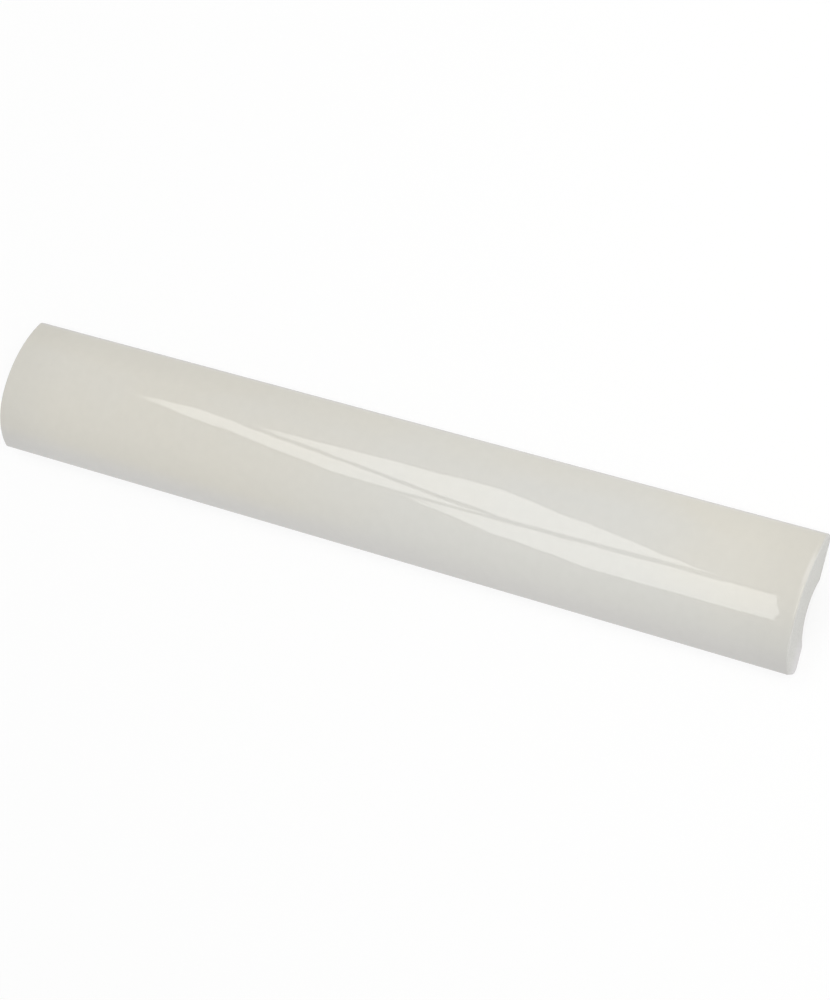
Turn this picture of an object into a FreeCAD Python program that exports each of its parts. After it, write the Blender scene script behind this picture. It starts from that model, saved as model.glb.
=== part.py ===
# Bullnose trim tile: one fired ceramic bar with a rounded glazed face and a hollow back.
#
# Frame: millimetres, +Z up. The tile lies on the two flat feet of its back, glazed face up.
# X runs along the tile and Y across it. The origin is the centre of its footprint at the feet.
# The face is fuller towards -Y, the nose edge, and falls more gently to the thinner edge at +Y.

import FreeCAD, Part
import os

import Sketcher

TILE_LABEL = "bullnose_tile"
POSITION_TOLERANCE = 1e-4

# Driving dimensions, in millimetres. Heights are from the feet, offsets are from the middle to the nose.
SIZES = {
    "tile_length": "200",
    "tile_width": "30.5",
    "thin_side_height": "2.4",
    "nose_side_height": "4.4",
    "crown_height": "11",
    "crown_offset": "3",
    "hollow_width": "14",
    "hollow_depth": "3.4",
    "hollow_offset": "1.8",
    "front_arris_radius": "1",
    "thin_foot_radius": "1",
    "nose_foot_radius": "1.8",
    "hollow_lip_radius": "1.2",
    "end_arris_radius": "0.6",
}

doc = FreeCAD.newDocument("BullnoseTile")


def make_size_sheet():
    """Write the driving dimensions to a sheet, one named cell for each."""
    sheet = doc.addObject("Spreadsheet::Sheet", "Sizes")
    for row, (name, value) in enumerate(SIZES.items(), start=1):
        sheet.set(f"A{row}", name)
        sheet.set(f"B{row}", value)
        sheet.setAlias(f"B{row}", name)
    doc.recompute()
    return sheet


def origin_plane(body, role):
    """Return the body's own reference plane with this role."""
    return next(item for item in body.Origin.OriginFeatures if item.Role == role)


def add_section(body, sheet):
    """Draw the cross-section: two face arcs that meet at the crown, upright sides, feet and hollow."""
    half_width = sheet.tile_width / 2
    half_hollow = sheet.hollow_width / 2

    def point(across, up):
        return FreeCAD.Vector(across, up, 0)

    def face_midway(across, up):
        """Return the point halfway across an arc that is level at the crown and ends at this shoulder."""
        run = across + sheet.crown_offset
        drop = sheet.crown_height - up
        radius = (run ** 2 + drop ** 2) / (2 * drop)
        halfway_drop = radius - (radius ** 2 - (run / 2) ** 2) ** 0.5
        return point(run / 2 - sheet.crown_offset, sheet.crown_height - halfway_drop)

    crown = point(-sheet.crown_offset, sheet.crown_height)
    thin_foot_end = point(half_width, 0)
    thin_shoulder = point(half_width, sheet.thin_side_height)
    nose_foot_end = point(-half_width, 0)
    nose_shoulder = point(-half_width, sheet.nose_side_height)
    thin_lip = point(half_hollow - sheet.hollow_offset, 0)
    nose_lip = point(-half_hollow - sheet.hollow_offset, 0)
    hollow_top = point(-sheet.hollow_offset, sheet.hollow_depth)
    thin_face_midway = face_midway(half_width, sheet.thin_side_height)
    nose_face_midway = face_midway(-half_width, sheet.nose_side_height)

    section = body.newObject("Sketcher::SketchObject", "Section")
    section.AttachmentSupport = (origin_plane(body, "YZ_Plane"), [""])
    section.MapMode = "FlatFace"

    # The outline runs anticlockwise from the hollow's thin-side lip; the hollow closes it.
    thin_foot = section.addGeometry(Part.LineSegment(thin_lip, thin_foot_end))
    thin_side = section.addGeometry(Part.LineSegment(thin_foot_end, thin_shoulder))
    thin_face = section.addGeometry(Part.Arc(thin_shoulder, thin_face_midway, crown))
    nose_face = section.addGeometry(Part.Arc(crown, nose_face_midway, nose_shoulder))
    nose_side = section.addGeometry(Part.LineSegment(nose_shoulder, nose_foot_end))
    nose_foot = section.addGeometry(Part.LineSegment(nose_foot_end, nose_lip))
    hollow = section.addGeometry(Part.Arc(thin_lip, hollow_top, nose_lip))
    hollow_mark = section.addGeometry(Part.Point(hollow_top))

    start, end, centre = 1, 2, 3
    origin, horizontal_axis, vertical_axis = (-1, 1), -1, -2

    def constrain(kind, *parts):
        return section.addConstraint(Sketcher.Constraint(kind, *parts))

    constrain("Coincident", thin_foot, end, thin_side, start)
    constrain("Coincident", thin_side, end, thin_face, start)
    constrain("Coincident", thin_face, end, nose_face, start)
    constrain("Coincident", nose_face, end, nose_side, start)
    constrain("Coincident", nose_side, end, nose_foot, start)
    constrain("Coincident", nose_foot, end, hollow, end)
    constrain("Coincident", hollow, start, thin_foot, start)
    constrain("PointOnObject", thin_foot, start, horizontal_axis)
    constrain("PointOnObject", thin_foot, end, horizontal_axis)
    constrain("PointOnObject", nose_foot, end, horizontal_axis)
    constrain("Symmetric", nose_foot, start, thin_foot, end, vertical_axis)
    constrain("Vertical", thin_side)
    constrain("Vertical", nose_side)

    # Both face arcs are level at the crown, so they run into each other without a ridge.
    constrain("Vertical", thin_face, centre, thin_face, end)
    constrain("Vertical", nose_face, centre, nose_face, start)
    constrain("PointOnObject", hollow_mark, start, hollow)
    constrain("Vertical", hollow, centre, hollow_mark, start)

    def dimension(name, kind, parts):
        index = constrain(kind, *parts, getattr(sheet, name))
        section.renameConstraint(index, name)
        section.setExpression(f"Constraints.{name}", f"Sizes.{name}")

    dimension("tile_width", "DistanceX", (nose_foot, start, thin_foot, end))
    dimension("thin_side_height", "DistanceY", (thin_side, start, thin_side, end))
    dimension("nose_side_height", "DistanceY", (nose_side, end, nose_side, start))
    dimension("crown_height", "DistanceY", (*origin, thin_face, end))
    dimension("crown_offset", "DistanceX", (thin_face, end, *origin))
    dimension("hollow_width", "DistanceX", (nose_foot, end, thin_foot, start))
    dimension("hollow_depth", "DistanceY", (*origin, hollow_mark, start))
    dimension("hollow_offset", "DistanceX", (hollow_mark, start, *origin))
    doc.recompute()
    return section


def add_bar(body, section):
    """Extrude the section both ways from the middle of the tile."""
    bar = body.newObject("PartDesign::Pad", "Bar")
    bar.Profile = section
    bar.SideType = "Symmetric"
    bar.setExpression("Length", "Sizes.tile_length")
    doc.recompute()
    return bar


def long_edge(shape, across, up):
    """Name the edge that runs along the tile at this place in its section."""
    for number, edge in enumerate(shape.Edges, start=1):
        box = edge.BoundBox
        straight_along = max(box.YLength, box.ZLength) < POSITION_TOLERANCE
        in_place = max(abs(box.YMin - across), abs(box.ZMin - up)) < POSITION_TOLERANCE
        if straight_along and in_place:
            return f"Edge{number}"
    raise RuntimeError(f"no long edge at {across}, {up}")


def end_edges(shape, half_length):
    """Name every edge that borders one of the two end faces."""
    names = []
    for number, edge in enumerate(shape.Edges, start=1):
        box = edge.BoundBox
        on_end = abs(abs(box.XMin) - half_length) < POSITION_TOLERANCE
        if on_end and box.XLength < POSITION_TOLERANCE:
            names.append(f"Edge{number}")
    return names


def round_edges(body, name, edges, expression):
    """Round the named edges of the body's last feature, with a radius from the sheet."""
    rounding = body.newObject("PartDesign::Fillet", name)
    rounding.Base = (rounding.BaseFeature, edges)
    rounding.setExpression("Radius", expression)
    doc.recompute()
    return rounding.Shape


def make_tile(sheet):
    """Build the tile: extruded section, then the roundings of its arrises, each limited by its wall."""
    body = doc.addObject("PartDesign::Body", "BullnoseTile")
    body.Label = TILE_LABEL
    section = add_section(body, sheet)
    shape = add_bar(body, section).Shape

    half_width = sheet.tile_width / 2
    lips = [side * sheet.hollow_width / 2 - sheet.hollow_offset for side in (-1, 1)]
    shape = round_edges(
        body, "FrontArrises",
        [long_edge(shape, half_width, sheet.thin_side_height),
         long_edge(shape, -half_width, sheet.nose_side_height)],
        "min(Sizes.front_arris_radius; 0.45 * Sizes.thin_side_height; 0.45 * Sizes.nose_side_height)")
    shape = round_edges(
        body, "ThinFootEdge", [long_edge(shape, half_width, 0)],
        "min(Sizes.thin_foot_radius; 0.5 * Sizes.thin_side_height)")
    shape = round_edges(
        body, "NoseFootEdge", [long_edge(shape, -half_width, 0)],
        "min(Sizes.nose_foot_radius; 0.5 * Sizes.nose_side_height)")
    shape = round_edges(
        body, "HollowLips", [long_edge(shape, lip, 0) for lip in lips],
        "min(Sizes.hollow_lip_radius; 0.1 * (Sizes.tile_width - Sizes.hollow_width))")
    round_edges(
        body, "EndArrises", end_edges(shape, sheet.tile_length / 2),
        "min(Sizes.end_arris_radius * 1 mm; 0.8 * FrontArrises.Radius; 0.8 * ThinFootEdge.Radius;"
        " 0.8 * NoseFootEdge.Radius; 0.8 * HollowLips.Radius)")
    return body


def check_document():
    """Stop if any feature failed, or if the tile is not one valid solid."""
    for item in doc.Objects:
        if "Invalid" in item.State or "Error" in item.State:
            raise RuntimeError(f"{item.Label} did not build: {item.State}")
    for item in doc.Objects:
        if item.TypeId == "PartDesign::Body":
            shape = item.Shape
            if shape.isNull() or not shape.isValid() or len(shape.Solids) != 1:
                raise RuntimeError(f"{item.Label} is not one valid solid")


def write_parts(bodies):
    """Write each piece to its own file, named by its label."""
    os.makedirs("parts", exist_ok=True)
    for body in bodies:
        body.Shape.exportStep(f"parts/{body.Label}.step")
        box = body.Shape.optimalBoundingBox()
        print(f"{body.Label}: {box.XLength:.2f} x {box.YLength:.2f} x {box.ZLength:.2f} mm,"
              f" {body.Shape.Volume / 1000:.2f} cm3")


sizes = make_size_sheet()
tile = make_tile(sizes)
doc.recompute()
check_document()
write_parts([tile])
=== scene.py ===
# %% [markdown]
# # A glazed bullnose tile
#
# A bullnose tile is a narrow trim that finishes a tiled edge: a bar of white clay with a rounded, glazed
# face and a hollow back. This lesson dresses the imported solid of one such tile, then lights it and sets a
# camera. The frame comes first. It fixes the tile's true size, and everything below is measured from it.

# %% Load the frame
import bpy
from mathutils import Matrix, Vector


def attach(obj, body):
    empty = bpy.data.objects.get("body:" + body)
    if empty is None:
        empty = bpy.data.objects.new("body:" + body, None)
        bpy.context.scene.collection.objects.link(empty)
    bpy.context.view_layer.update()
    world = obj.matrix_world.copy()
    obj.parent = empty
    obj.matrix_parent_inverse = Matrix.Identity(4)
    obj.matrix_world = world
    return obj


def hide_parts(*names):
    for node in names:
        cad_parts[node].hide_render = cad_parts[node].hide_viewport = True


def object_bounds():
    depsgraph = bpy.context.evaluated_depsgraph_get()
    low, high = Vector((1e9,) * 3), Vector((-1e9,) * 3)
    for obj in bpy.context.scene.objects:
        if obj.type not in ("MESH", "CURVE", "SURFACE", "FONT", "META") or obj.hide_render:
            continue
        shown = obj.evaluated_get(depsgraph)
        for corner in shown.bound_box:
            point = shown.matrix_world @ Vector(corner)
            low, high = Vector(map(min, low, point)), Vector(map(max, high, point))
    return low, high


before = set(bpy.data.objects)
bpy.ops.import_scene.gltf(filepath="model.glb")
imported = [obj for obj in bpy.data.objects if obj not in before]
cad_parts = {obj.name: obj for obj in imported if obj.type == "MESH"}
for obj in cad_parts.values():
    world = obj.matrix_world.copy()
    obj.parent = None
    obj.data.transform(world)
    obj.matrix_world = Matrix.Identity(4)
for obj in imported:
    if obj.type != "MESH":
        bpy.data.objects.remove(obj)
cad_low, cad_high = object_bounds()

tile_length, tile_width, crown_height = cad_high - cad_low
MM = 0.001
print(f"tile: {tile_length / MM:.1f} x {tile_width / MM:.1f} x {crown_height / MM:.1f} mm")

# %% [markdown]
# ## The section
#
# The tile is one shape all along its length, so the whole form lies in its cross-section. Seen from the
# end, two arcs make the face. They meet level at the crown, which stands a little towards the full edge,
# the nose. The other edge is thinner. The back stands on two flat feet with a shallow hollow between
# them.
#
# One could trace this outline as a Bezier curve, but hand-set handles only come close to a true arc, and
# gloss shows the difference. Here each corner is a small arc too. Its centre is the one point that lies
# the rounding's own radius from both of its neighbours, so every rounding runs into them without a ridge.

# %% Sizes of the section
import math

from mathutils import Vector

thin_side_height = 2.4 * MM
nose_side_height = 4.4 * MM
crown_offset = 3 * MM
hollow_width = 14 * MM
hollow_depth = 3.4 * MM
hollow_offset = 1.8 * MM
front_arris_radius = 1 * MM
thin_foot_radius = 1 * MM
nose_foot_radius = 1.8 * MM
hollow_lip_radius = 1.2 * MM

half_width = tile_width / 2


def arc_radius(run, rise):
    """Return the radius of an arc that is level at its top and falls by rise over run."""
    return (run ** 2 + rise ** 2) / (2 * rise)


thin_face_radius = arc_radius(half_width + crown_offset, crown_height - thin_side_height)
nose_face_radius = arc_radius(half_width - crown_offset, crown_height - nose_side_height)
hollow_radius = arc_radius(hollow_width / 2, hollow_depth)
print(f"face radii: {thin_face_radius / MM:.2f} and {nose_face_radius / MM:.2f} mm,"
      f" hollow {hollow_radius / MM:.2f} mm")

# %% Centres of the arcs, as points across and up the section
thin_face_centre = Vector((-crown_offset, crown_height - thin_face_radius))
nose_face_centre = Vector((-crown_offset, crown_height - nose_face_radius))
hollow_centre = Vector((-hollow_offset, hollow_depth - hollow_radius))
thin_foot_centre = Vector((half_width - thin_foot_radius, thin_foot_radius))
nose_foot_centre = Vector((nose_foot_radius - half_width, nose_foot_radius))


def front_arris(side, face_centre, face_radius):
    """Return the centre of the rounding between face and side, and the angle where it meets the face."""
    across = side * (half_width - front_arris_radius)
    reach = face_radius - front_arris_radius
    up = face_centre.y + math.sqrt(reach ** 2 - (across - face_centre.x) ** 2)
    return Vector((across, up)), math.atan2(up - face_centre.y, across - face_centre.x)


thin_arris_centre, thin_arris_angle = front_arris(1, thin_face_centre, thin_face_radius)
nose_arris_centre, nose_arris_angle = front_arris(-1, nose_face_centre, nose_face_radius)

lip_rise = hollow_lip_radius - hollow_centre.y
lip_reach = hollow_radius + hollow_lip_radius
lip_run = math.sqrt(lip_reach ** 2 - lip_rise ** 2)
lip_angle = math.atan2(lip_rise, lip_run)
thin_lip_centre = Vector((lip_run - hollow_offset, hollow_lip_radius))
nose_lip_centre = Vector((-lip_run - hollow_offset, hollow_lip_radius))
print(f"the glazed face leans {90 - math.degrees(thin_arris_angle):.1f} degrees at the thin edge"
      f" and {math.degrees(nose_arris_angle) - 90:.1f} at the nose")

# %% The outline, anticlockwise from the thin foot
FACET = 0.45 * MM
FEWEST_FACETS = 7
SAME_POINT = 0.01 * MM
QUARTER = math.pi / 2


def arc(centre, radius, start, end):
    """Return points a facet apart along an arc, from one angle to another."""
    facets = max(FEWEST_FACETS, math.ceil(radius * abs(end - start) / FACET))
    angles = [start + (end - start) * step / facets for step in range(facets + 1)]
    return [centre + radius * Vector((math.cos(angle), math.sin(angle))) for angle in angles]


runs = [
    arc(thin_foot_centre, thin_foot_radius, -QUARTER, 0),
    arc(thin_arris_centre, front_arris_radius, 0, thin_arris_angle),
    arc(thin_face_centre, thin_face_radius, thin_arris_angle, QUARTER),
    arc(nose_face_centre, nose_face_radius, QUARTER, nose_arris_angle),
    arc(nose_arris_centre, front_arris_radius, nose_arris_angle, 2 * QUARTER),
    arc(nose_foot_centre, nose_foot_radius, 2 * QUARTER, 3 * QUARTER),
    arc(nose_lip_centre, hollow_lip_radius, -QUARTER, -lip_angle),
    arc(hollow_centre, hollow_radius, 2 * QUARTER - lip_angle, lip_angle),
    arc(thin_lip_centre, hollow_lip_radius, 2 * QUARTER + lip_angle, 3 * QUARTER),
]
outline = []
for point in sum(runs, []):
    if not outline or (point - outline[-1]).length > SAME_POINT:
        outline.append(point)
print(f"outline: {len(runs)} arcs, {len(outline)} points")

# %% The outline as a closed loop of edges
import bpy

section_mesh = bpy.data.meshes.new("section")
section_edges = [(place, (place + 1) % len(outline)) for place in range(len(outline))]
section_mesh.from_pydata([point.to_3d() for point in outline], section_edges, [])
section = bpy.data.objects.new("section", section_mesh)
bpy.context.scene.collection.objects.link(section)
print(f"section loop: {len(section_mesh.edges)} edges")

# %% [markdown]
# ## Nodes, added by name
#
# Both the shape and the finish below are trees of nodes. Adding each node takes the same few steps, so
# small helpers do them: one adds any node and fills its inputs, one adds a step of arithmetic, and two
# more add the steps that come up most, the rest of 1 and a smooth change from 0 to 1.

# %% Helpers that add nodes
def feed(tree, socket, value):
    """Link a socket to another node's output, or set it to a plain value."""
    if isinstance(value, bpy.types.NodeSocket):
        tree.links.new(value, socket)
    else:
        socket.default_value = value


def add_node(tree, kind, inputs=None, **options):
    """Add a node, set its options, then fill the named inputs."""
    node = tree.nodes.new(kind)
    for option, value in options.items():
        setattr(node, option, value)
    for name, value in (inputs or {}).items():
        feed(tree, node.inputs[name], value)
    return node


def maths(tree, operation, *values):
    """Add one step of arithmetic and return its result."""
    node = tree.nodes.new("ShaderNodeMath")
    node.operation = operation
    for socket, value in zip(node.inputs, values):
        feed(tree, socket, value)
    return node.outputs["Value"]


def rest_of(tree, value):
    """Return what is left of 1 after this value."""
    return maths(tree, "SUBTRACT", 1, value)


def fade(tree, value, low, high):
    """Return 0 below low and 1 above high, with a smooth change between them."""
    node = add_node(tree, "ShaderNodeMapRange", {"Value": value, "From Min": low, "From Max": high},
                    interpolation_type="SMOOTHSTEP")
    return node.outputs["Result"]


print("node helpers: feed, add_node, maths, rest_of and fade")

# %% [markdown]
# ## A bar that follows its section
#
# The real tile is pressed as a bar, and its ends are eased by a small rounding that the glaze needs to
# hold. An extruded section with a Bevel modifier would do for a plain block, but a bevel collides with
# the short edges of the arcs. Geometry Nodes can follow the rule itself: sweep the section along the
# length, and near each end draw it in by the rounding's own quarter circle, point by point along its
# outward direction.
#
# The tree takes the tile's sizes as named inputs, so the same tree makes a longer or blunter tile.

# %% Named sizes of the tree
bar_tree = bpy.data.node_groups.new("bar_from_section", "GeometryNodeTree")
bar_tree.interface.new_socket("Tile", in_out="OUTPUT", socket_type="NodeSocketGeometry")
for name, kind in (("Section", "Geometry"), ("Length", "Float"), ("End Arris Radius", "Float"),
                   ("Stations", "Int"), ("Arris Steps", "Int"), ("Ripple Depth", "Float"),
                   ("Ripple Length", "Float"), ("Seed", "Float"), ("Finish", "Material")):
    bar_tree.interface.new_socket(name, in_out="INPUT", socket_type=f"NodeSocket{kind}")
sizes = bar_tree.nodes.new("NodeGroupInput").outputs
print(f"tree inputs: {[socket.name for socket in sizes if socket.name]}")

# %% Stations along the length, close together in the end roundings
station = bar_tree.nodes.new("GeometryNodeInputIndex").outputs["Index"]
last_station = maths(bar_tree, "SUBTRACT", sizes["Stations"], 1)
from_end = maths(bar_tree, "MINIMUM", station, maths(bar_tree, "SUBTRACT", last_station, station))
round_share = maths(bar_tree, "MINIMUM", maths(bar_tree, "DIVIDE", from_end, sizes["Arris Steps"]), 1)
round_angle = maths(bar_tree, "MULTIPLY", round_share, QUARTER)
radius = sizes["End Arris Radius"]
draw_in = maths(bar_tree, "MULTIPLY", radius, rest_of(bar_tree, maths(bar_tree, "SINE", round_angle)))
set_back = maths(bar_tree, "MULTIPLY", radius, rest_of(bar_tree, maths(bar_tree, "COSINE", round_angle)))

straight_length = maths(bar_tree, "MULTIPLY_ADD", radius, -2, sizes["Length"])
straight_stations = maths(bar_tree, "MULTIPLY_ADD", sizes["Arris Steps"], -2, last_station)
spacing = maths(bar_tree, "DIVIDE", straight_length, straight_stations)
along = maths(bar_tree, "MAXIMUM", maths(bar_tree, "SUBTRACT", from_end, sizes["Arris Steps"]), 0)
end_distance = maths(bar_tree, "MULTIPLY_ADD", along, spacing, set_back)
half_length = maths(bar_tree, "MULTIPLY", sizes["Length"], 0.5)
half_way = maths(bar_tree, "MULTIPLY", last_station, 0.5)
end_side = maths(bar_tree, "SIGN", maths(bar_tree, "SUBTRACT", station, half_way))
station_x = maths(bar_tree, "MULTIPLY", end_side, maths(bar_tree, "SUBTRACT", half_length, end_distance))
print("stations: each has its place along the tile and its own draw_in")

# %% The path through the stations
line = add_node(bar_tree, "GeometryNodeCurvePrimitiveLine", {"Start": (-1, 0, 0), "End": (1, 0, 0)})
resampled = add_node(bar_tree, "GeometryNodeResampleCurve",
                     {"Curve": line.outputs["Curve"], "Count": sizes["Stations"]})
station_place = add_node(bar_tree, "ShaderNodeCombineXYZ", {"X": station_x})
placed = add_node(bar_tree, "GeometryNodeSetPosition",
                  {"Geometry": resampled.outputs["Curve"], "Position": station_place.outputs["Vector"]})
path = add_node(bar_tree, "GeometryNodeStoreNamedAttribute",
                {"Geometry": placed.outputs["Geometry"], "Name": "draw_in", "Value": draw_in})
upright = add_node(bar_tree, "GeometryNodeSetCurveTilt",
                   {"Curve": path.outputs["Geometry"], "Tilt": math.pi})
print("path: a line resampled at the stations, which carries draw_in")

# %% The section, with its outward direction, swept along the stations
section_curve = add_node(bar_tree, "GeometryNodeMeshToCurve", {"Mesh": sizes["Section"]})
tangent = bar_tree.nodes.new("GeometryNodeInputTangent").outputs["Tangent"]
outward = bar_tree.nodes.new("ShaderNodeVectorMath")
outward.operation = "CROSS_PRODUCT"
feed(bar_tree, outward.inputs[0], tangent)
feed(bar_tree, outward.inputs[1], (0, 0, 1))
marked = add_node(bar_tree, "GeometryNodeStoreNamedAttribute",
                  {"Geometry": section_curve.outputs["Curve"], "Name": "outward",
                   "Value": outward.outputs["Vector"]}, data_type="FLOAT_VECTOR")
swept = add_node(bar_tree, "GeometryNodeCurveToMesh",
                 {"Curve": upright.outputs["Curve"], "Profile Curve": marked.outputs["Geometry"],
                  "Fill Caps": True})
print("bar: section swept along the path, both ends closed")

# %% The end roundings and the slight ripple of the fired glaze
kept_draw_in = add_node(bar_tree, "GeometryNodeInputNamedAttribute", {"Name": "draw_in"})
kept_outward = add_node(bar_tree, "GeometryNodeInputNamedAttribute", {"Name": "outward"},
                        data_type="FLOAT_VECTOR")
parts_out = add_node(bar_tree, "ShaderNodeSeparateXYZ", {"Vector": kept_outward.outputs["Attribute"]})
out_across, out_up = parts_out.outputs["X"], parts_out.outputs["Y"]
turned_out = add_node(bar_tree, "ShaderNodeCombineXYZ", {"Y": out_across, "Z": out_up})

FACE_STARTS, FACE_FULL = 0.15, 0.65
position = bar_tree.nodes.new("GeometryNodeInputPosition").outputs["Position"]
ripple_scale = maths(bar_tree, "DIVIDE", 1, sizes["Ripple Length"])
ripple = add_node(bar_tree, "ShaderNodeTexNoise",
                  {"Vector": position, "W": sizes["Seed"], "Detail": 1, "Scale": ripple_scale},
                  noise_dimensions="4D")
on_face = fade(bar_tree, out_up, FACE_STARTS, FACE_FULL)
ripple_share = maths(bar_tree, "MULTIPLY", ripple.outputs["Fac"], on_face)
ripple_depth = maths(bar_tree, "MULTIPLY", ripple_share, sizes["Ripple Depth"])
drawn_in = maths(bar_tree, "ADD", kept_draw_in.outputs["Attribute"], ripple_depth)
inward = maths(bar_tree, "MULTIPLY", drawn_in, -1)
move = bar_tree.nodes.new("ShaderNodeVectorMath")
move.operation = "SCALE"
feed(bar_tree, move.inputs["Vector"], turned_out.outputs["Vector"])
feed(bar_tree, move.inputs["Scale"], inward)
eased = add_node(bar_tree, "GeometryNodeSetPosition",
                 {"Geometry": swept.outputs["Mesh"], "Offset": move.outputs["Vector"]})
print("end roundings and ripple: each point moves in along its own outward direction")

# %% Flat ends, one finish, and the tree's output
END_FACING = 0.999
facing = bar_tree.nodes.new("GeometryNodeInputNormal").outputs["Normal"]
facing_along = add_node(bar_tree, "ShaderNodeSeparateXYZ", {"Vector": facing}).outputs["X"]
is_end = maths(bar_tree, "GREATER_THAN", maths(bar_tree, "ABSOLUTE", facing_along), END_FACING)
flat_ends = add_node(bar_tree, "GeometryNodeSetShadeSmooth",
                     {"Geometry": eased.outputs["Geometry"], "Selection": is_end, "Shade Smooth": False})
realized = add_node(bar_tree, "GeometryNodeRealizeInstances", {"Geometry": flat_ends.outputs["Geometry"]})
finished = add_node(bar_tree, "GeometryNodeSetMaterial",
                    {"Geometry": realized.outputs["Geometry"], "Material": sizes["Finish"]})
bar_tree.links.new(finished.outputs["Geometry"], bar_tree.nodes.new("NodeGroupOutput").inputs["Tile"])
print(f"bar tree: {len(bar_tree.nodes)} nodes")

# %% The tile, made once by the tree and kept as a plain mesh
glazed_clay = bpy.data.materials.new("cream_glaze_on_white_clay")
tile_sizes = {
    "Length": tile_length,
    "End Arris Radius": 0.6 * MM,
    "Stations": 221,
    "Arris Steps": 8,
    "Ripple Depth": 0.04 * MM,
    "Ripple Length": 12 * MM,
    "Seed": 3.0,
    "Finish": glazed_clay,
}
maker = section.modifiers.new("bar_from_section", "NODES")
maker.node_group = bar_tree
for socket in bar_tree.interface.items_tree:
    if socket.name in tile_sizes:
        maker[socket.identifier] = tile_sizes[socket.name]

evaluated = section.evaluated_get(bpy.context.evaluated_depsgraph_get())
tile_mesh = bpy.data.meshes.new_from_object(evaluated)
section.modifiers.remove(maker)
bpy.data.objects.remove(section)
for name in ("outward", "draw_in"):
    tile_mesh.attributes.remove(tile_mesh.attributes[name])
tile = bpy.data.objects.new("glazed_tile", tile_mesh)
bpy.context.scene.collection.objects.link(tile)
print(f"tile: {len(tile_mesh.polygons)} faces, {len(tile_mesh.materials)} finish")

# %% [markdown]
# ## Glaze over clay
#
# The tile is white clay under a thick cream glaze. The glaze covers the face and runs a little way down
# the sides. The two ends, the feet and the hollow stay bare. A second mesh for the glaze would be a layer
# that the fired tile doesn't have, so one material carries both, and a mask says where the glaze lies.
#
# The mask reads the tile's own coordinates, so it stays put from every side.

# %% The tile's own coordinates, and a soft pattern on them
glazed_clay.use_nodes = True
finish = glazed_clay.node_tree
shader = finish.nodes["Principled BSDF"]
place = finish.nodes.new("ShaderNodeTexCoord").outputs["Object"]
place_parts = add_node(finish, "ShaderNodeSeparateXYZ", {"Vector": place}).outputs


def mottle(length, detail=2.0, where=place):
    """Return a soft pattern from 0 to 1 whose patches are about this long."""
    noise = add_node(finish, "ShaderNodeTexNoise",
                     {"Vector": where, "Scale": 1 / length, "Detail": detail})
    return noise.outputs["Fac"]


print(f"{glazed_clay.name} reads the tile's own coordinates")

# %% Where the glaze lies
GLAZE_LINE = 1.7 * MM
GLAZE_LINE_BLUR = 0.25 * MM
WANDER, WANDER_LENGTH = 0.8 * MM, 7 * MM
wandering = maths(finish, "MULTIPLY_ADD", mottle(WANDER_LENGTH), WANDER, -WANDER / 2)
above_line = maths(finish, "SUBTRACT", maths(finish, "ADD", place_parts["Z"], wandering), GLAZE_LINE)
on_sides = fade(finish, above_line, 0, GLAZE_LINE_BLUR)

BACK_ENDS, GLAZE_STARTS = -0.45, -0.3
outward_normal = finish.nodes.new("ShaderNodeNewGeometry").outputs["Normal"]
facing_up = add_node(finish, "ShaderNodeSeparateXYZ", {"Vector": outward_normal}).outputs["Z"]
not_back = fade(finish, facing_up, BACK_ENDS, GLAZE_STARTS)

BARE_RIM, RIM_BLUR, NOSE_BLUR = 0.1 * MM, 0.12 * MM, 0.4 * MM
NOSE_STARTS, NOSE_FULL = 5 * MM, 10 * MM
end_room = maths(finish, "SUBTRACT", tile_length / 2, maths(finish, "ABSOLUTE", place_parts["X"]))
towards_nose = maths(finish, "MULTIPLY", place_parts["Y"], -1)
nose_share = fade(finish, towards_nose, NOSE_STARTS, NOSE_FULL)
glaze_full = maths(finish, "MULTIPLY_ADD", nose_share, NOSE_BLUR, BARE_RIM + RIM_BLUR)
on_length = fade(finish, end_room, BARE_RIM, glaze_full)
glaze = maths(finish, "MULTIPLY", maths(finish, "MULTIPLY", on_sides, not_back), on_length)
print("glaze mask: face and sides, clear of the ends and the back")

# %% [markdown]
# ## Cream, a little uneven
#
# A fired glaze pools and thins. Where it is thick it is warm: at the left end, along the thin edge, and
# on the thin side of the right end. Past the middle it is more neutral. Down the nose and over the long
# arrises a greyer, cooler cream is painted shade. The cream is a shade darker near both ends and along
# the thin edge at the left, and below the crown at the right end it is darker again as painted shade. At
# the right end a pale line runs along the arris from the thin side as far as the crown: the glaze has
# drawn back from the arris there, and the line is partly a painted highlight.
#
# One flat cream would look like plastic. A painted picture could hold all this, but it needs a flat map
# of the tile. Soft masks along and across the tile need none. Each says where one cream gives way to
# another, slow patches break up the borders, and a fine mottle moves the lightness by a percent or two.

# %% The glaze's colours, and the steps that mix them
WARM_CREAM = (0.664, 0.64, 0.577, 1)
NEUTRAL_CREAM = (0.653, 0.645, 0.612, 1)
# A greyer, cooler cream, painted as shade down the nose and over the long arrises.
PAINTED_SHADE_CREAM = (0.647, 0.633, 0.612, 1)
# Pale cream for the line along the right end's arris: partly paler glaze, partly a painted highlight.
PALE_RIM_AND_HIGHLIGHT = (0.71, 0.69, 0.645, 1)

# The Mix node has sockets for numbers, vectors and colours under the same names, so its sockets for
# colours are found by their places.
COLOUR_A, COLOUR_B, COLOUR_RESULT = 6, 7, 2


def mix_colours(factor, first, second, blend="MIX"):
    """Return the first colour where factor is 0 and the second where it is 1."""
    node = add_node(finish, "ShaderNodeMix", {"Factor": factor}, data_type="RGBA", blend_type=blend)
    feed(finish, node.inputs[COLOUR_A], first)
    feed(finish, node.inputs[COLOUR_B], second)
    return node.outputs[COLOUR_RESULT]


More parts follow.
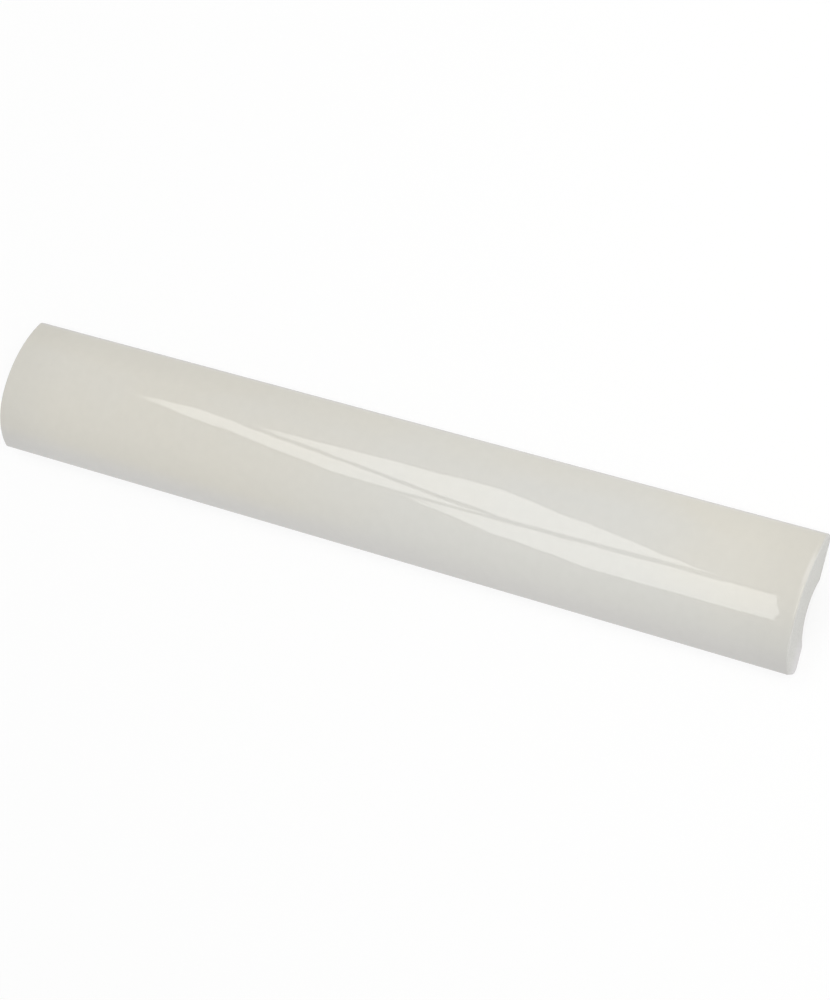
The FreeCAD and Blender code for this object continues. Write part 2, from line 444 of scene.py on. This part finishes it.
def lessen(value, mask, share):
    """Return the value, less this share where the mask is 1."""
    return maths(finish, "MULTIPLY_ADD", mask, -share, value)


def but_not(mask, other):
    """Return the first mask where the other is 0, and nothing where it is 1."""
    return maths(finish, "MULTIPLY", mask, rest_of(finish, other))


print(f"glaze colours: warm {WARM_CREAM[:3]}, neutral {NEUTRAL_CREAM[:3]}, thin {PAINTED_SHADE_CREAM[:3]}")

# %% Warm and neutral cream
LEFT_WARM, MIDDLE_NEUTRAL = -65 * MM, 25 * MM
RIGHT_STARTS, RIGHT_FULL = 40 * MM, 90 * MM
THIN_SIDE_STARTS, THIN_SIDE_FULL = -12 * MM, 4 * MM
THIN_EDGE_STARTS, THIN_EDGE_FULL = 8 * MM, 14 * MM
past_middle = fade(finish, place_parts["X"], LEFT_WARM, MIDDLE_NEUTRAL)
towards_right = fade(finish, place_parts["X"], RIGHT_STARTS, RIGHT_FULL)
thin_side = fade(finish, place_parts["Y"], THIN_SIDE_STARTS, THIN_SIDE_FULL)
thin_edge = fade(finish, place_parts["Y"], THIN_EDGE_STARTS, THIN_EDGE_FULL)

END_WARMTH, EDGE_WARMTH = 0.85, 0.4
warm_end = maths(finish, "MULTIPLY", towards_right, thin_side)
neutral = lessen(lessen(past_middle, warm_end, END_WARMTH), thin_edge, EDGE_WARMTH)

PATCH_SHARE, PATCH_LENGTH = 0.5, 38 * MM
PATCH_LOW, PATCH_HIGH = 0.3, 0.7
patches = maths(finish, "SUBTRACT", fade(finish, mottle(PATCH_LENGTH), PATCH_LOW, PATCH_HIGH), 0.5)
cream_share = maths(finish, "MULTIPLY_ADD", patches, PATCH_SHARE, neutral)
cream = mix_colours(cream_share, WARM_CREAM, NEUTRAL_CREAM)
print("cream: warm at the left end, the thin edge and the right end, neutral past the middle")

# %% Lightness
SPECKLE_RANGE, SPECKLE_LENGTH, SPECKLE_DETAIL = 0.05, 2.2 * MM, 4.0
END_REACH = 18 * MM
CROWN_STARTS, CROWN_FULL = -9 * MM, 3 * MM
END_SHADE, RIGHT_NOSE_PAINTED_SHADE, EDGE_SHADE = 0.045, 0.035, 0.035
speckle = mottle(SPECKLE_LENGTH, SPECKLE_DETAIL)
near_end = rest_of(finish, fade(finish, end_room, 0, END_REACH))
# Below the crown at the right end the cream is darkened further: painted shade.
right_nose_painted_shade = but_not(towards_right, fade(finish, place_parts["Y"], CROWN_STARTS, CROWN_FULL))
left_edge = but_not(thin_edge, past_middle)

lightness = maths(finish, "MULTIPLY_ADD", speckle, SPECKLE_RANGE, 1 - SPECKLE_RANGE / 2)
for mask, shade in ((near_end, END_SHADE), (right_nose_painted_shade, RIGHT_NOSE_PAINTED_SHADE), (left_edge, EDGE_SHADE)):
    lightness = lessen(lightness, mask, shade)
print("lightness: a fine mottle, and a shade darker near the ends")

# %% Painted shade on the nose and arrises, and the pale line with its painted highlight
# Down the nose, and where the face turns away from overhead, the cream gives way to a greyer, cooler one:
# painted shade.
DOWN_NOSE_SHADE_STARTS, DOWN_NOSE_SHADE_FULL = 9 * MM, 14.5 * MM
ARRIS_SHADE_FULL, ARRIS_SHADE_GONE = 0.54, 0.7
down_nose_painted_shade = fade(finish, towards_nose, DOWN_NOSE_SHADE_STARTS, DOWN_NOSE_SHADE_FULL)
arris_painted_shade = rest_of(finish, fade(finish, facing_up, ARRIS_SHADE_FULL, ARRIS_SHADE_GONE))
cream_with_painted_shade = mix_colours(maths(finish, "MAXIMUM", down_nose_painted_shade, arris_painted_shade), cream, PAINTED_SHADE_CREAM)
uneven = mix_colours(1.0, cream_with_painted_shade, lightness, "MULTIPLY")

# The pale line is partly glaze drawn back from the arris and partly a painted highlight.
RIM_WIDTH = 1.3 * MM
LINE_STARTS, LINE_FULL = 0, 7 * MM
rim_room = maths(finish, "SUBTRACT", tile_length / 2, place_parts["X"])
along_rim = rest_of(finish, fade(finish, rim_room, RIM_WIDTH / 2, RIM_WIDTH))
up_to_crown = fade(finish, place_parts["Y"], LINE_STARTS, LINE_FULL)
pale_line_and_painted_highlight = maths(finish, "MULTIPLY", along_rim, but_not(up_to_crown, thin_edge))
glaze_colour = mix_colours(pale_line_and_painted_highlight, uneven, PALE_RIM_AND_HIGHLIGHT)
print("glaze colour: cream, thin places and a pale line")

# %% [markdown]
# ## Bare clay and fine relief
#
# Pressed clay is matt and grainy, nearly white with a grey cast. At the foot of the nose it is painted a
# little paler, as painted light from the white floor below. The glaze has a faint relief of its own, a
# peel about a hundredth of a millimetre deep, drawn out along the tile. It makes the sides of a
# reflection waver. The ripple above is in the mesh, but the grain and the peel are far finer than its
# facets, so both are bump.

# %% The clay's colour
CLAY_PALE = (0.7, 0.695, 0.67, 1)
CLAY_DARK = (0.64, 0.632, 0.61, 1)
# A paler clay, painted as light from the floor at the foot of the nose.
FOOT_PAINTED_LIGHT_CLAY = (0.75, 0.735, 0.74, 1)
GRAIN_LENGTH, GRAIN_DETAIL = 0.35 * MM, 3.0
GRAIN_LOW, GRAIN_HIGH = 0.25, 0.75
FOOT_LIGHT_FULL, FOOT_LIGHT_GONE = 1 * MM, 7 * MM
grain = mottle(GRAIN_LENGTH, GRAIN_DETAIL)
pressed_clay = mix_colours(fade(finish, grain, GRAIN_LOW, GRAIN_HIGH), CLAY_DARK, CLAY_PALE)
foot_painted_light = rest_of(finish, fade(finish, place_parts["Z"], FOOT_LIGHT_FULL, FOOT_LIGHT_GONE))
clay_colour = mix_colours(maths(finish, "MULTIPLY", foot_painted_light, nose_share), pressed_clay, FOOT_PAINTED_LIGHT_CLAY)
print("clay colour: two greys by the grain, paler at the foot of the nose")

# %% Grain of the clay and peel of the glaze
GRAIN_DEPTH = 0.036 * MM
PEEL_DEPTH, PEEL_LENGTH, PEEL_STRETCH = 0.012 * MM, 2.2 * MM, 3
bare_grain = but_not(grain, glaze)
stretched = add_node(finish, "ShaderNodeMapping", {"Vector": place, "Scale": (1 / PEEL_STRETCH, 1, 1)})
peel = maths(finish, "MULTIPLY", mottle(PEEL_LENGTH, 0.0, stretched.outputs["Vector"]), glaze)
grain_height = maths(finish, "MULTIPLY", bare_grain, GRAIN_DEPTH)
relief_height = maths(finish, "MULTIPLY_ADD", peel, PEEL_DEPTH, grain_height)
relief = add_node(finish, "ShaderNodeBump", {"Height": relief_height, "Distance": 1.0, "Strength": 1.0})
print(f"relief: grain {GRAIN_DEPTH / MM:.3f} mm and peel {PEEL_DEPTH / MM:.3f} mm deep")

# %% Colour, roughness and relief on the shader
GLAZE_ROUGHNESS, CLAY_ROUGHNESS = 0.015, 0.85
GLAZE_IOR = 1.5
roughness = maths(finish, "MULTIPLY_ADD", glaze, GLAZE_ROUGHNESS - CLAY_ROUGHNESS, CLAY_ROUGHNESS)
feed(finish, shader.inputs["Base Color"], mix_colours(glaze, clay_colour, glaze_colour))
feed(finish, shader.inputs["Roughness"], roughness)
feed(finish, shader.inputs["Normal"], relief.outputs["Normal"])
feed(finish, shader.inputs["IOR"], GLAZE_IOR)
print(f"finish: {len(finish.nodes)} nodes")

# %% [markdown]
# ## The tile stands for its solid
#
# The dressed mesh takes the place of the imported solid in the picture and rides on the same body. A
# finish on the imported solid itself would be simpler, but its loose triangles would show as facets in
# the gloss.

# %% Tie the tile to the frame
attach(tile, "root")
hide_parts("bullnose_tile")
print(f"{tile.name} rides on root and replaces bullnose_tile")

# %% [markdown]
# ## A white table and soft light
#
# The floor is pale and wide, and the world around is plain white. Stronger lamps could bleach the floor,
# but they would bleach the tile with it. Instead, camera rays see floor and world as white. The floor
# still takes part of its look from real light, so that the tile keeps a soft shadow under its edges.

# %% Floor
FLOOR_REACH = 6.0
floor_mesh = bpy.data.meshes.new("floor")
floor_corners = [(side_x * FLOOR_REACH, side_y * FLOOR_REACH, 0)
                 for side_x, side_y in ((-1, -1), (1, -1), (1, 1), (-1, 1))]
floor_mesh.from_pydata(floor_corners, [], [(0, 1, 2, 3)])
floor = bpy.data.objects.new("floor", floor_mesh)
bpy.context.scene.collection.objects.link(floor)
print(f"floor: {2 * FLOOR_REACH:.0f} m wide")


# %% White paper for the floor
def seen_directly(tree):
    """Return 1 for rays from the camera and those that gloss or glass sends on, and 0 for the rest."""
    rays = tree.nodes.new("ShaderNodeLightPath").outputs
    either = maths(tree, "MAXIMUM", rays["Is Camera Ray"], rays["Is Glossy Ray"])
    return maths(tree, "MAXIMUM", either, rays["Is Transmission Ray"])


SHADE_KEPT = 0.18
PAPER_WHITE = (0.96, 0.96, 0.96, 1)
PAPER_ROUGHNESS, PAPER_SPECULAR = 0.9, 0.1
paper = bpy.data.materials.new("white_paper")
paper.use_nodes = True
paper_tree = paper.node_tree
matt = paper_tree.nodes["Principled BSDF"]
matt.inputs["Base Color"].default_value = PAPER_WHITE
matt.inputs["Roughness"].default_value = PAPER_ROUGHNESS
matt.inputs["Specular IOR Level"].default_value = PAPER_SPECULAR
white = add_node(paper_tree, "ShaderNodeEmission", {"Color": (1, 1, 1, 1), "Strength": 1.0})
share_white = maths(paper_tree, "MULTIPLY", seen_directly(paper_tree), 1 - SHADE_KEPT)
paper_mix = add_node(paper_tree, "ShaderNodeMixShader", {"Fac": share_white})
paper_tree.links.new(matt.outputs["BSDF"], paper_mix.inputs[1])
paper_tree.links.new(white.outputs["Emission"], paper_mix.inputs[2])
paper_tree.links.new(paper_mix.outputs["Shader"], paper_tree.nodes["Material Output"].inputs["Surface"])
floor_mesh.materials.append(paper)
print(f"paper: {SHADE_KEPT:.0%} of its look comes from the light on it, the rest is white")

# %% World
SKY_LEVEL = 0.668
SKY_WHITE = (0.985, 0.995, 1, 1)
sky = bpy.data.worlds.new("white_room")
sky.use_nodes = True
sky_tree = sky.node_tree
background = sky_tree.nodes["Background"]
background.inputs["Color"].default_value = SKY_WHITE
sky_strength = maths(sky_tree, "MULTIPLY_ADD", seen_directly(sky_tree), 1 - SKY_LEVEL, SKY_LEVEL)
sky_tree.links.new(sky_strength, background.inputs["Strength"])
bpy.context.scene.world = sky
print(f"world: {SKY_LEVEL} on the tile, 1 where it is seen")

# %% [markdown]
# ## Panes of light
#
# Gloss only shows what it reflects. This tile reflects three bright panes: two lie side by side and the
# third follows them. The rounded face squeezes each pane into a narrow streak along the crown. A flat
# lamp would leave streaks with bent ends, because the face bends what it reflects. Panes that are bent
# over the tile like a barrel vault undo this, and their straight sides stay straight in the streaks.
#
# Each pane has four corners on the vault. A corner is given by its place along the tile and its angle
# from overhead. A pane is dimmer at its left end, so that its streak fades in.

# %% What the panes glow with
PANE_BRIGHTNESS = 3.75
PANE_TINT = (0.99, 0.99, 0.97)
pane_glow = bpy.data.materials.new("pane_glow")
pane_glow.use_nodes = True
glow_tree = pane_glow.node_tree
glow_tree.nodes.remove(glow_tree.nodes["Principled BSDF"])
own_glow = add_node(glow_tree, "ShaderNodeAttribute", attribute_name="glow").outputs["Fac"]
strength = maths(glow_tree, "MULTIPLY", own_glow, PANE_BRIGHTNESS)
glow = add_node(glow_tree, "ShaderNodeEmission", {"Color": (*PANE_TINT, 1), "Strength": strength})
glow_tree.links.new(glow.outputs["Emission"], glow_tree.nodes["Material Output"].inputs["Surface"])
print(f"pane glow: {PANE_BRIGHTNESS} at full brightness")

# %% Points of a pane, on the vault
VAULT_RADIUS = 1.0
PANE_STEPS = 24


def on_vault(along, around):
    """Return the point of the vault at this place along the tile and this angle from overhead."""
    angle = math.radians(around)
    return Vector((along, VAULT_RADIUS * math.sin(angle), VAULT_RADIUS * math.cos(angle)))


def pane_points(corners):
    """Return rows of points that fill the part of the vault between four corners, given in order."""
    first, second, third, fourth = (Vector(corner) for corner in corners)
    shares = [step / PANE_STEPS for step in range(PANE_STEPS + 1)]
    points = []
    for row in shares:
        one_side = first.lerp(second, row)
        other_side = fourth.lerp(third, row)
        points += [on_vault(*one_side.lerp(other_side, share)) for share in shares]
    return points


print(f"a pane has {PANE_STEPS} rows of {PANE_STEPS} faces")

# %% The three panes
DIM_LENGTH, DIM_GLOW = 0.035, 0.3


def hang_pane(name, *corners):
    """Hang a glowing pane between these corners, dimmer at its left end."""
    points = pane_points(corners)
    row_length = PANE_STEPS + 1
    starts = [row * row_length + step for row in range(PANE_STEPS) for step in range(PANE_STEPS)]
    faces = [(start, start + 1, start + row_length + 1, start + row_length) for start in starts]
    mesh = bpy.data.meshes.new(name)
    mesh.from_pydata(points, [], faces)
    mesh.materials.append(pane_glow)
    left_end = min(point.x for point in points)
    shares_lit = [min(1, (point.x - left_end) / DIM_LENGTH) for point in points]
    glows = mesh.attributes.new("glow", "FLOAT", "POINT")
    glows.data.foreach_set("value", [DIM_GLOW + (1 - DIM_GLOW) * lit for lit in shares_lit])
    pane = bpy.data.objects.new(name, mesh)
    pane.visible_camera = False
    bpy.context.scene.collection.objects.link(pane)
    print(f"{name}: {sum(face.area for face in mesh.polygons):.3f} m2")


hang_pane("left_pane", (-0.66, 37.2), (-0.605, 40.2), (-0.39, 12), (-0.49, 12))
hang_pane("right_pane", (-0.564, 38.8), (-0.385, 44), (-0.238, 17), (-0.375, 14.3))
hang_pane("near_pane", (-0.45, 8.3), (-0.196, 13.2), (-0.19, -16.3), (-0.308, -18.3))

# %% [markdown]
# ## A soft lamp
#
# A wide lamp beside the camera lights the right end and the thin side of the face. The face only reflects
# what lies towards its left end, so this lamp adds light without a streak of its own.

# %% Soft lamp
LAMP_BRIGHTNESS = 3.0
LAMP_TINT = (1, 0.985, 0.94)
LAMP_SIZE = 0.25
LAMP_PLACE = Vector((0.25, 0.1, 0.4))
lamp_data = bpy.data.lights.new("soft_lamp", "AREA")
lamp_data.size = LAMP_SIZE
lamp_data.energy = LAMP_BRIGHTNESS * math.pi * LAMP_SIZE ** 2
lamp_data.color = LAMP_TINT
lamp = bpy.data.objects.new("soft_lamp", lamp_data)
lamp.location = LAMP_PLACE
lamp.rotation_euler = (-LAMP_PLACE).to_track_quat("-Z", "Y").to_euler()
bpy.context.scene.collection.objects.link(lamp)
print(f"soft lamp: {LAMP_SIZE} m wide, {lamp_data.energy:.2f} W")

# %% [markdown]
# ## The camera
#
# The camera looks down on the tile from its right end, and is turned about its own line of sight so that
# the tile lies across the upright picture. One could set it by eye, but place, lens and turn all move the
# outline. These come from a fit to the tile's long edges, corners and ends.

# %% Camera
from mathutils import Quaternion

CAMERA_PLACE = Vector((0.2535, 0.0350, 0.5490))
CAMERA_AIM = Vector((0.0054, -0.0015, 0))
CAMERA_ROLL = math.radians(-83.44)
CAMERA_LENS = 97.24
camera_data = bpy.data.cameras.new("camera")
camera_data.lens = CAMERA_LENS
camera = bpy.data.objects.new("camera", camera_data)
camera.location = CAMERA_PLACE
camera.rotation_mode = "QUATERNION"
look = (CAMERA_AIM - CAMERA_PLACE).to_track_quat("-Z", "Y")
camera.rotation_quaternion = look @ Quaternion((0, 0, 1), CAMERA_ROLL)
bpy.context.scene.collection.objects.link(camera)
bpy.context.scene.camera = camera
bpy.context.scene.view_settings.view_transform = "Standard"
print(f"camera: {(CAMERA_AIM - CAMERA_PLACE).length:.3f} m from the tile, {CAMERA_LENS} mm lens")
